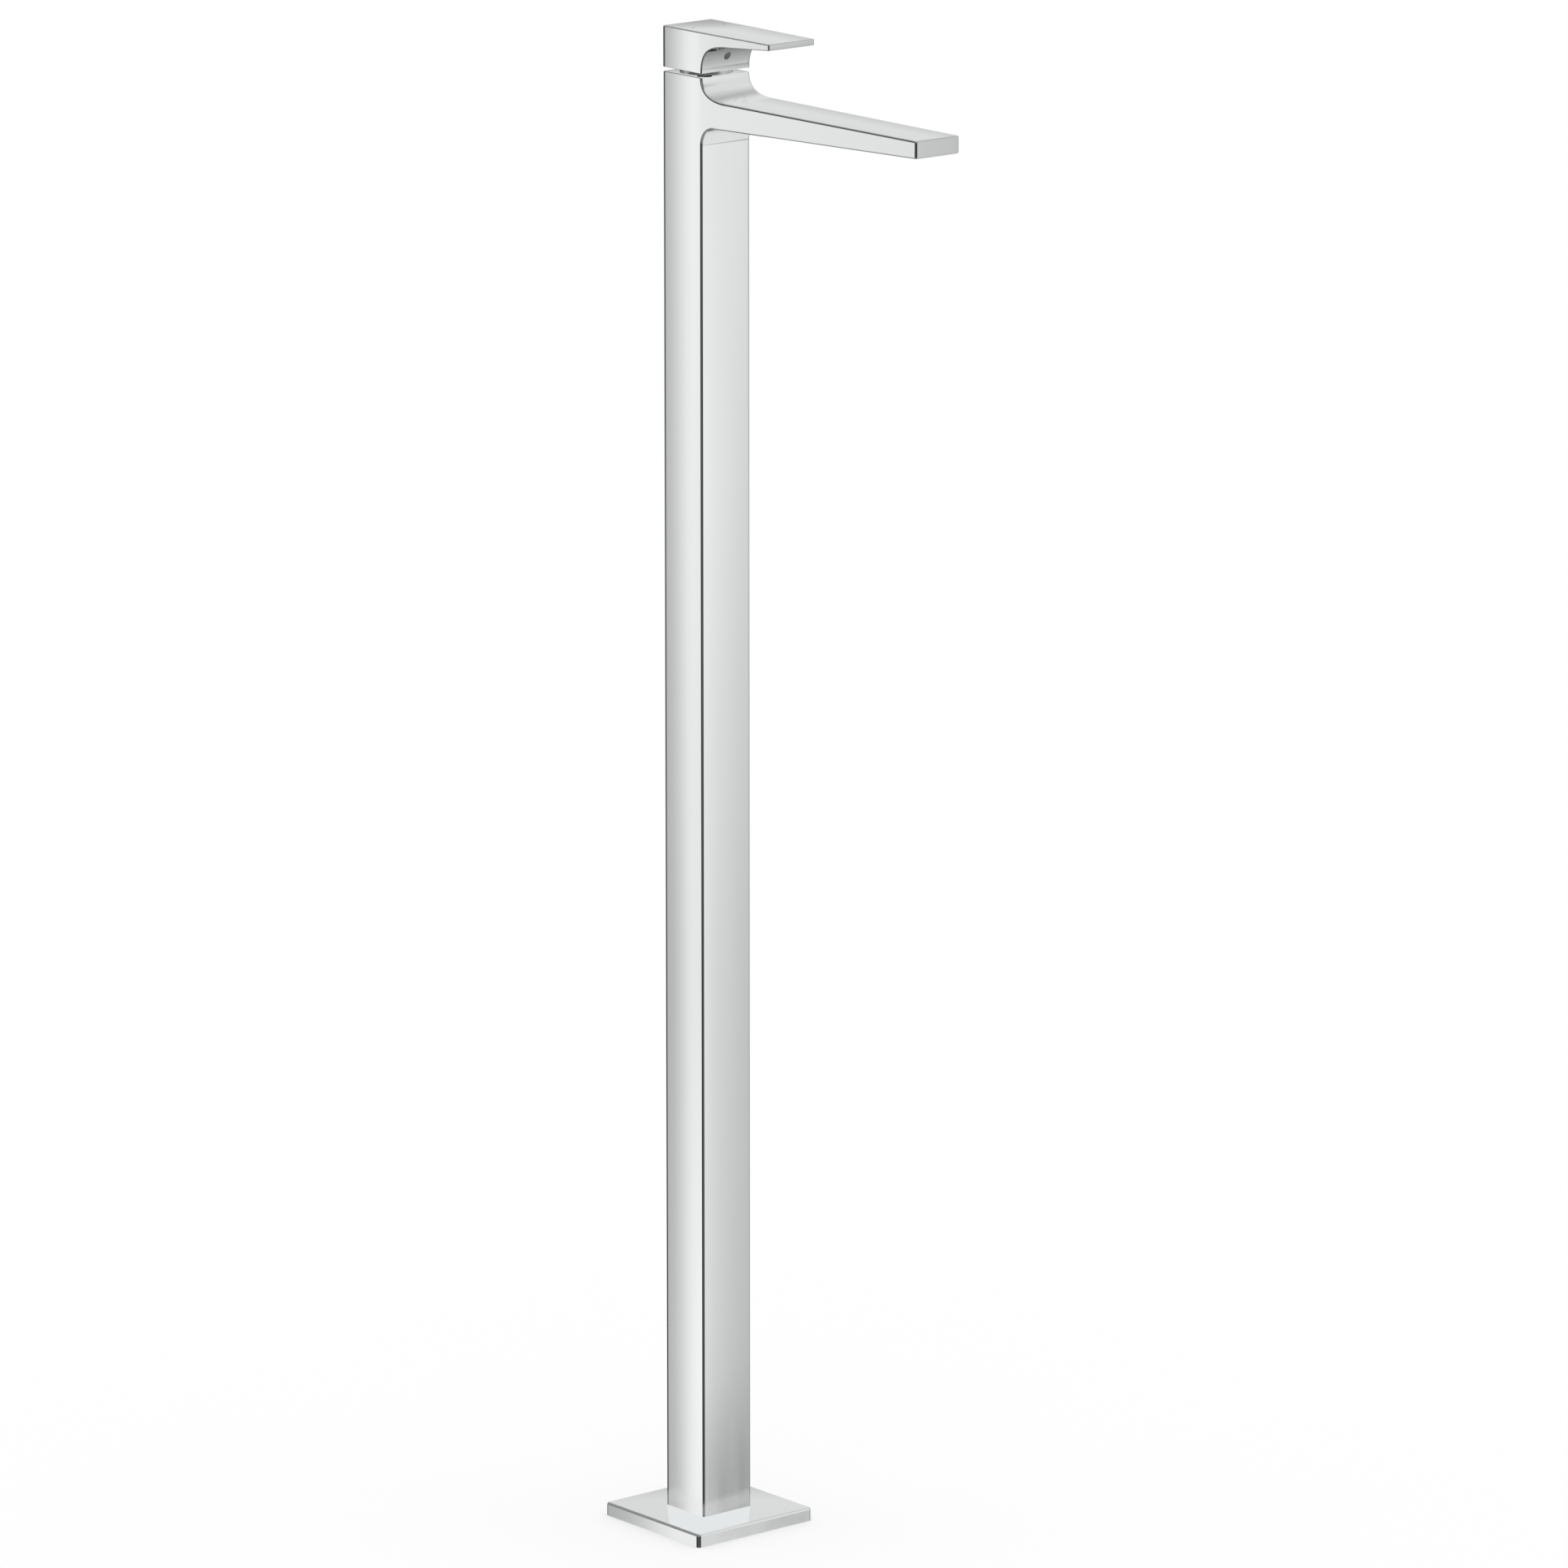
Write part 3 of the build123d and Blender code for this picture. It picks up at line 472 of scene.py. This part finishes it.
BODY_HALF = 0.022
COVER_HALF = 0.055
CAST_HAZE = (0.035, 0.06)
TUBE_HAZE = (0.03, 0.06)
PRESSED_HAZE = (0.05, 0.10)
RIM_HAZE = 0.90
DRAW_LINES = 12
# Painted shade on the spout's tip, darker towards its end along Y: a painted reflection of the dark pieces
# near it.
SPOUT_TIP_PAINTED_SHADE = [(-0.2590, 0.72), (-0.2565, 0.76), (-0.2540, 1.00), (0.0220, 1.00)]
# Painted shade on the lever's front, by height and darkest just under its top: a painted reflection of the
# spout's dark root below.
LEVER_FRONT_PAINTED_SHADE = [(1.1040, 0.87), (1.1100, 0.64), (1.1180, 0.38)]
LEVER_FRONT_PAINTED_SHADE += [(1.1250, 0.18), (1.1285, 0.62), (1.1320, 0.73)]
cast = wheel_polished_chrome(
    "bright_chrome_on_cast_brass",
    CAST_HAZE,
    1,
    BODY_HALF,
    ROLL_PER_METRE,
    MIRROR_RAYS_THROUGH,
    along="Y",
    painted_shade=SPOUT_TIP_PAINTED_SHADE,
)
lever_cast = wheel_polished_chrome(
    "bright_chrome_on_cast_lever",
    CAST_HAZE,
    1,
    BODY_HALF,
    ROLL_PER_METRE,
    LEVER_RAYS_THROUGH,
    rim=RIM_HAZE,
    painted_shade=LEVER_FRONT_PAINTED_SHADE,
)
tube = wheel_polished_chrome(
    "bright_chrome_on_drawn_tube", TUBE_HAZE, DRAW_LINES, BODY_HALF, ROLL_PER_METRE, 0.0
)
pressed = wheel_polished_chrome(
    "bright_chrome_on_pressed_steel", PRESSED_HAZE, 1, COVER_HALF, 0, MIRROR_RAYS_THROUGH, rim=RIM_HAZE
)
dress(cast, "spout_body")
dress(lever_cast, "lever_handle")
dress(tube, "column_tube")
dress(pressed, "cover_flange")

# %% [markdown]
# ## Grained finishes
# The other metals, plastics and rubbers differ in colour, gloss and grain, and all show a
# faint unevenness at their own scale: rolling lines on plate, draw lines on pipe, the pebbled
# skin of moulded rubber. One recipe serves them: a noise of the grain's size moves the colour
# between two paint values, moves the gloss, and lifts the surface by microns.

# %% Grained finish


def grained(name, pale, dark, metallic, gloss, grain, height, stretch=(1, 1, 1)):
    """A finish with a grain of that size and height in metres, stretched along the axes."""
    made, tree = material(name)
    place = add(tree, "ShaderNodeTexCoord")
    laid = add(
        tree,
        "ShaderNodeMapping",
        links={"Vector": place.outputs["Object"]},
        values={"Scale": stretch},
    )
    noise = add(
        tree,
        "ShaderNodeTexNoise",
        links={"Vector": laid.outputs[0]},
        values={"Scale": 1 / grain, "Detail": 4.0, "Roughness": 0.6},
    )
    spread = add(tree, "ShaderNodeMapRange", links={"Value": noise.outputs["Fac"]}, values=NOISE_SPAN)
    colour = add(
        tree,
        "ShaderNodeMix",
        links={"Factor": spread.outputs[0]},
        values={6: linear(pale), 7: linear(dark)},
        data_type="RGBA",
    )
    rough = add(
        tree,
        "ShaderNodeMapRange",
        links={"Value": noise.outputs["Fac"]},
        values={**NOISE_SPAN, "To Min": gloss[0], "To Max": gloss[1]},
    )
    lifted = add(
        tree,
        "ShaderNodeBump",
        links={"Height": noise.outputs["Fac"]},
        values={"Strength": 1.0, "Distance": height},
    )
    surface = add(
        tree,
        "ShaderNodeBsdfPrincipled",
        links={"Base Color": colour.outputs[2], "Roughness": rough.outputs[0], "Normal": lifted.outputs[0]},
        values={"Metallic": metallic},
    )
    show(tree, surface, 1.0)
    return made


# %% [markdown]
# ## Metals inside and under the mixer
# The outlet's shell is turned brass under bright chrome, and fine rings dull it a little. The
# collar under the lever is turned too, but its chrome is satin, so it gives an even pale grey
# and no clear image. The foot plate is rolled steel under bluish zinc, its screws, rods and
# nuts are zinc plated too, the stem and pin are ground stainless steel, the block and the nut
# are bare machined brass, and the pipes are drawn copper that has begun to brown.

# %% Metals
ALONG_X = (0.15, 1, 1)
ALONG_Y = (1, 0.12, 1)
ALONG_Z = (1, 1, 0.12)
GROUND_ALONG_Z = (1, 1, 0.2)
turned_chrome = grained("bright_chrome_on_turned_brass", CHROME, "eceff0", 1.0, (0.06, 0.12), 0.0004, 1e-7)
satin_chrome = grained("satin_chrome_on_turned_brass", "e2e5e6", "d4d8da", 1.0, (0.30, 0.40), 0.0004, 1e-7)
zinc_plate = grained("zinc_on_rolled_steel", "cdd2d6", "aab2b8", 1.0, (0.28, 0.42), 0.0012, 2e-6, ALONG_X)
zinc_screw = grained("zinc_on_steel_screws", "c8cdd1", "a4abb0", 1.0, (0.25, 0.38), 0.0005, 1e-6)
stainless = grained(
    "ground_stainless_steel", "d2d3d2", "b9bbbb", 1.0, (0.18, 0.30), 0.0003, 4e-7, GROUND_ALONG_Z
)
brass = grained("machined_brass", "dcc07c", "b89650", 1.0, (0.20, 0.36), 0.0008, 1e-6, ALONG_Y)
copper = grained("drawn_copper_pipe", "d48f68", "a05f40", 1.0, (0.24, 0.42), 0.0030, 1e-6, ALONG_Z)
dress(turned_chrome, "aerator_housing")
dress(satin_chrome, "collar")
dress(zinc_plate, "foot_plate")
dress(zinc_screw, "plate_screws", "tie_rods", "tie_rod_nuts")
dress(stainless, "pivot_pin", "lever_stem", "grub_screw")
dress(brass, "inlet_block", "cartridge_nut")
dress(copper, "hot_riser", "cold_riser")

# %% [markdown]
# ## Rubber, plastic, ceramic and enamel
# The seals are black EPDM rubber, matt from the mould. The cartridge and the pipe spacers are
# white acetal, the turret, the outlet's grid and the lever's plug are grey acetal, and the two
# discs are lapped alumina, almost as smooth as glass. The two dots that tell hot from cold
# are drops of enamel.

# %% Soft and hard inner parts
rubber = grained("black_epdm_rubber", "2b2c2d", "1b1c1d", 0.0, (0.55, 0.75), 0.0004, 8e-6)
white_acetal = grained("white_acetal", "efefea", "e0e0d9", 0.0, (0.30, 0.42), 0.0005, 2e-6)
grey_acetal = grained("grey_acetal", "94979a", "7c7f82", 0.0, (0.32, 0.45), 0.0005, 2e-6)
dark_acetal = grained("dark_grey_acetal", "6c6e70", "5c5e60", 0.0, (0.35, 0.50), 0.0004, 2e-6)
alumina = grained("lapped_alumina", "f2eee4", "e6e1d5", 0.0, (0.08, 0.16), 0.0006, 2e-7)
red_enamel = grained("fired_red_enamel", "c81a14", "a8120e", 0.0, (0.10, 0.16), 0.0003, 1e-6)
blue_enamel = grained("fired_blue_enamel", "16359a", "0f2878", 0.0, (0.10, 0.16), 0.0003, 1e-6)
dress(rubber, "column_gasket", "riser_seals", "aerator_seal", "base_seals", "disc_gasket")
dress(white_acetal, "pipe_spacers", "cartridge_base", "cartridge_housing", "disc_driver")
dress(grey_acetal, "aerator_insert", "stem_turret")
dress(dark_acetal, "screw_plug")
dress(alumina, "fixed_disc", "moving_disc")
dress(red_enamel, "hot_mark")
dress(blue_enamel, "cold_mark")

# %% [markdown]
# ## Making small pieces
# The construction leaves the rods, the screws, the nuts and the outlet's grid plain. Here they
# are modelled as by hand: each starts from a primitive, is shaped in edit mode or cut by another
# shape, and takes the place of its plain node. These helpers pick faces by their direction, cut
# one shape with another, and finish a piece.

# %% Helpers for small pieces
FLAT_END = 0.9
SHARPEST_SMOOTH_EDGE = math.radians(35)


def alone():
    """Leaves nothing selected, so that the next operator meets only what it makes."""
    bpy.ops.object.select_all(action="DESELECT")


def pick_faces(piece, wanted):
    """Opens the piece in edit mode with only the wanted faces selected."""
    bpy.ops.object.mode_set(mode="EDIT")
    bpy.ops.mesh.select_mode(type="FACE")
    bpy.ops.mesh.select_all(action="DESELECT")
    bpy.ops.object.mode_set(mode="OBJECT")
    for face in piece.data.polygons:
        face.select = wanted(face)
    bpy.ops.object.mode_set(mode="EDIT")


def place_in_mesh():
    """Moves the active piece's place, turn and size into its mesh."""
    bpy.ops.object.transform_apply(location=True, rotation=True, scale=True)


def combine(piece, tool, how):
    """Cuts the piece with the tool, or keeps what both share, and removes the tool."""
    cutter = piece.modifiers.new("cut", "BOOLEAN")
    cutter.operation = how
    cutter.object = tool
    cutter.solver = "EXACT"
    alone()
    piece.select_set(True)
    bpy.context.view_layer.objects.active = piece
    bpy.ops.object.modifier_apply(modifier=cutter.name)
    bpy.data.objects.remove(tool, do_unlink=True)


def join(pieces):
    """Makes one object of several."""
    alone()
    for piece in pieces:
        piece.select_set(True)
    bpy.context.view_layer.objects.active = pieces[0]
    bpy.ops.object.join()
    return pieces[0]


def finish_piece(piece, name, body, made, replaced):
    """Names the piece, dresses it, smooths its round faces, and lets it stand for its node."""
    alone()
    piece.select_set(True)
    bpy.context.view_layer.objects.active = piece
    place_in_mesh()
    bpy.ops.object.shade_smooth_by_angle(angle=SHARPEST_SMOOTH_EDGE)
    piece.name = name
    piece.data.materials.clear()
    piece.data.materials.append(made)
    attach(piece, body)
    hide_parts(replaced)
    print(name, "faces", len(piece.data.polygons))


# %% [markdown]
# ## Threads
# A thread could be drawn in the shading, but its ridges show at the end of a rod, so it is
# real: a small triangle that climbs round the axis by one pitch each turn. The Screw modifier
# does that, and both ends are closed after it.

# %% Thread ridge
RIDGE_SHARE = 0.58
STEPS_PER_TURN = 18


def thread_ridge(crest, pitch, low, high):
    """A ridge round the Z axis that reaches out to the crest, from low to high."""
    alone()
    size = pitch * RIDGE_SHARE
    turns = int((high - low) / pitch) - 1
    bpy.ops.mesh.primitive_circle_add(
        vertices=3,
        radius=size,
        location=(crest - size, 0, low + size),
        rotation=(math.radians(90), math.radians(90), 0),
    )
    ridge = bpy.context.object
    place_in_mesh()
    winding = ridge.modifiers.new("winding", "SCREW")
    winding.axis = "Z"
    winding.screw_offset = pitch
    winding.iterations = turns
    winding.steps = winding.render_steps = STEPS_PER_TURN
    bpy.ops.object.modifier_apply(modifier=winding.name)
    bpy.ops.object.mode_set(mode="EDIT")
    bpy.ops.mesh.select_all(action="SELECT")
    bpy.ops.mesh.remove_doubles(threshold=1e-6)
    bpy.ops.mesh.fill_holes(sides=0)
    bpy.ops.mesh.select_all(action="SELECT")
    bpy.ops.mesh.normals_make_consistent(inside=False)
    bpy.ops.object.mode_set(mode="OBJECT")
    return ridge


# %% [markdown]
# ## Tie rods
# Two steel rods pull the head down on the foot's block. Each is plain for most of its length,
# with an M6 thread of 1 mm pitch at both ends, rolled on a thinner part.

# %% Tie rods
ROD_THREAD = 0.014
ROD_PITCH = 0.001
THREAD_ROOT = 0.82
low, high = (Vector(corner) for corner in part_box("tie_rods"))
rod_radius = (high.x - low.x) / 2
rods = []
for y in (low.y + rod_radius, high.y - rod_radius):
    alone()
    shank = high.z - low.z - 2 * ROD_THREAD
    bpy.ops.mesh.primitive_cylinder_add(
        vertices=32, radius=rod_radius, depth=shank, location=(0, 0, (low.z + high.z) / 2)
    )
    rod = bpy.context.object
    place_in_mesh()
    for side in (-1, 1):
        pick_faces(rod, lambda face: face.normal.z * side > FLAT_END)
        root = (THREAD_ROOT, THREAD_ROOT, 1)
        bpy.ops.mesh.extrude_region_move(TRANSFORM_OT_translate={"value": (0, 0, 0)})
        bpy.ops.transform.resize(value=root)
        bpy.ops.mesh.extrude_region_move(TRANSFORM_OT_translate={"value": (0, 0, side * ROD_THREAD)})
        bpy.ops.object.mode_set(mode="OBJECT")
    foot = thread_ridge(rod_radius, ROD_PITCH, low.z, low.z + ROD_THREAD)
    head = thread_ridge(rod_radius, ROD_PITCH, high.z - ROD_THREAD, high.z)
    whole = join([rod, foot, head])
    whole.location = (0, y, 0)
    place_in_mesh()
    rods.append(whole)
finish_piece(join(rods), "threaded_tie_rods", "stand", zinc_screw, "tie_rods")

# %% [markdown]
# ## Nuts of the tie rods
# A bought nut is a hexagon whose corners are turned off by a cone at both ends. The hexagon is
# a six sided cylinder, and it keeps only what it shares with a round one whose rims are
# bevelled. The hole is cut last.

# %% Tie rod nuts
HOLE_SHARE = 0.52
CHAMFER_SHARE = 0.12
JUST_OUTSIDE = 1.001
low, high = (Vector(corner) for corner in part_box("tie_rod_nuts"))
corner = (high.x - low.x) / 2
flat = corner * math.cos(math.radians(30))
nuts = []
for y in (low.y + flat, high.y - flat):
    middle = (0, y, (low.z + high.z) / 2)
    depth = high.z - low.z
    alone()
    bpy.ops.mesh.primitive_cylinder_add(
        vertices=6, radius=corner, depth=depth, location=middle, rotation=(0, 0, math.radians(30))
    )
    nut = bpy.context.object
    place_in_mesh()
    alone()
    bpy.ops.mesh.primitive_cylinder_add(
        vertices=48, radius=corner * JUST_OUTSIDE, depth=depth, location=middle
    )
    turned_blank = bpy.context.object
    place_in_mesh()
    pick_faces(turned_blank, lambda face: abs(face.normal.z) > FLAT_END)
    bpy.ops.mesh.bevel(offset=corner * CHAMFER_SHARE, segments=1)
    bpy.ops.object.mode_set(mode="OBJECT")
    combine(nut, turned_blank, "INTERSECT")
    alone()
    bpy.ops.mesh.primitive_cylinder_add(
        vertices=32, radius=corner * HOLE_SHARE, depth=depth * 2, location=middle
    )
    combine(nut, bpy.context.object, "DIFFERENCE")
    nuts.append(nut)
finish_piece(join(nuts), "chamfered_rod_nuts", "stand", zinc_screw, "tie_rod_nuts")

# %% [markdown]
# ## Screws under the foot plate
# Four M4 screws with flat heads hold the plate to the block. The head is a cone let into the
# plate, with a six sided key socket. One is modelled and copied to the four places.

# %% Plate screws
SCREW_PITCH = 0.0007
SOCKET_CORNER = 0.00145
SOCKET_DEPTH = 0.0013
CORE_SHARE = 0.8
HEAD = 0.004
SHANK = 0.002
HEAD_RIM = 0.0002
BARE_NECK = 0.001
NECK_TO_RIDGE = 0.0002
low, high = (Vector(corner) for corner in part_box("plate_screws"))
neck_top = HEAD_RIM + HEAD - SHANK + BARE_NECK
alone()
bpy.ops.mesh.primitive_cylinder_add(
    vertices=32, radius=HEAD, depth=HEAD_RIM, location=(0, 0, low.z + HEAD_RIM / 2)
)
screw = bpy.context.object
place_in_mesh()
pick_faces(screw, lambda face: face.normal.z > FLAT_END)
bpy.ops.mesh.extrude_region_move(TRANSFORM_OT_translate={"value": (0, 0, HEAD - SHANK)})
bpy.ops.transform.resize(value=(SHANK / HEAD, SHANK / HEAD, 1))
bpy.ops.mesh.extrude_region_move(TRANSFORM_OT_translate={"value": (0, 0, BARE_NECK)})
bpy.ops.mesh.extrude_region_move(TRANSFORM_OT_translate={"value": (0, 0, 0)})
bpy.ops.transform.resize(value=(CORE_SHARE, CORE_SHARE, 1))
bpy.ops.mesh.extrude_region_move(TRANSFORM_OT_translate={"value": (0, 0, high.z - low.z - neck_top)})
bpy.ops.object.mode_set(mode="OBJECT")
alone()
bpy.ops.mesh.primitive_cylinder_add(
    vertices=6, radius=SOCKET_CORNER, depth=2 * SOCKET_DEPTH, location=(0, 0, low.z)
)
combine(screw, bpy.context.object, "DIFFERENCE")
ridge = thread_ridge(SHANK, SCREW_PITCH, low.z + neck_top + NECK_TO_RIDGE, high.z)
screw = join([screw, ridge])
screws = []
for x in (low.x + HEAD, high.x - HEAD):
    for y in (low.y + HEAD, high.y - HEAD):
        copy = screw.copy()
        copy.data = screw.data.copy()
        bpy.context.collection.objects.link(copy)
        copy.location = (x, y, 0)
        alone()
        copy.select_set(True)
        bpy.context.view_layer.objects.active = copy
        place_in_mesh()
        screws.append(copy)
bpy.data.objects.remove(screw, do_unlink=True)
finish_piece(join(screws), "socket_head_plate_screws", "stand", zinc_screw, "plate_screws")

# %% [markdown]
# ## Screen of the outlet
# The construction has a coarse grid there. The real insert ends in a fine screen that breaks
# the jet into soft streams: a square net of thin wires in a round rim. The net is a grid
# primitive whose faces outside the circle are deleted, and the Wireframe modifier turns the
# rest into wires. The rim is a cylinder whose ends are inset, opened and bridged.

# %% Outlet screen
WIRES = 18
WIRE = 0.00035
RIM = 0.0011
RIM_ROUNDING = 0.0002
low, high = (Vector(corner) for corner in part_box("aerator_insert"))
middle = (low + high) / 2
outlet_radius = (high.x - low.x) / 2
alone()
bpy.ops.mesh.primitive_grid_add(
    x_subdivisions=WIRES,
    y_subdivisions=WIRES,
    size=2 * outlet_radius,
    location=(middle.x, middle.y, low.z + WIRE),
)
net = bpy.context.object
place_in_mesh()
pick_faces(net, lambda face: (face.center - middle).to_2d().length > outlet_radius - RIM)
bpy.ops.mesh.delete(type="FACE")
bpy.ops.object.mode_set(mode="OBJECT")
wires = net.modifiers.new("wires", "WIREFRAME")
wires.thickness = WIRE
bpy.ops.object.modifier_apply(modifier=wires.name)
alone()
bpy.ops.mesh.primitive_cylinder_add(vertices=64, radius=outlet_radius, depth=high.z - low.z, location=middle)
rim = bpy.context.object
place_in_mesh()
pick_faces(rim, lambda face: abs(face.normal.z) > FLAT_END)
bpy.ops.mesh.inset(thickness=RIM)
bpy.ops.mesh.delete(type="FACE")
bpy.ops.mesh.select_mode(type="EDGE")
bpy.ops.mesh.select_non_manifold()
bpy.ops.mesh.bridge_edge_loops()
bpy.ops.mesh.select_all(action="SELECT")
bpy.ops.mesh.normals_make_consistent(inside=False)
bpy.ops.object.mode_set(mode="OBJECT")
rounding = rim.modifiers.new("rounding", "BEVEL")
rounding.width = RIM_ROUNDING
rounding.segments = 2
bpy.ops.object.modifier_apply(modifier=rounding.name)
finish_piece(join([net, rim]), "outlet_screen", "stand", grey_acetal, "aerator_insert")

# %% [markdown]
# ## Grub screw of the lever
# The headless M5 screw behind the plug holds the lever on its stem. It has a six sided key
# socket in front and a 0.8 mm thread all along. It is made upright and then laid down.

# %% Grub screw
GRUB_PITCH = 0.0008
GRUB_CHAMFER = 0.0003
GRUB_SOCKET = 0.003
low, high = (Vector(corner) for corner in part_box("grub_screw"))
middle = (low + high) / 2
grub_radius = (high.x - low.x) / 2
length = high.y - low.y
alone()
bpy.ops.mesh.primitive_cylinder_add(
    vertices=32, radius=grub_radius * CORE_SHARE, depth=length, location=(0, 0, 0)
)
grub = bpy.context.object
pick_faces(grub, lambda face: abs(face.normal.z) > FLAT_END)
bpy.ops.mesh.bevel(offset=GRUB_CHAMFER, segments=1)
bpy.ops.object.mode_set(mode="OBJECT")
alone()
bpy.ops.mesh.primitive_cylinder_add(
    vertices=6, radius=SOCKET_CORNER, depth=2 * GRUB_SOCKET, location=(0, 0, length / 2)
)
combine(grub, bpy.context.object, "DIFFERENCE")
grub = join([grub, thread_ridge(grub_radius, GRUB_PITCH, -length / 2, length / 2)])
grub.rotation_euler = (math.radians(90), 0, 0)
grub.location = middle
finish_piece(grub, "socket_grub_screw", "lever", stainless, "grub_screw")
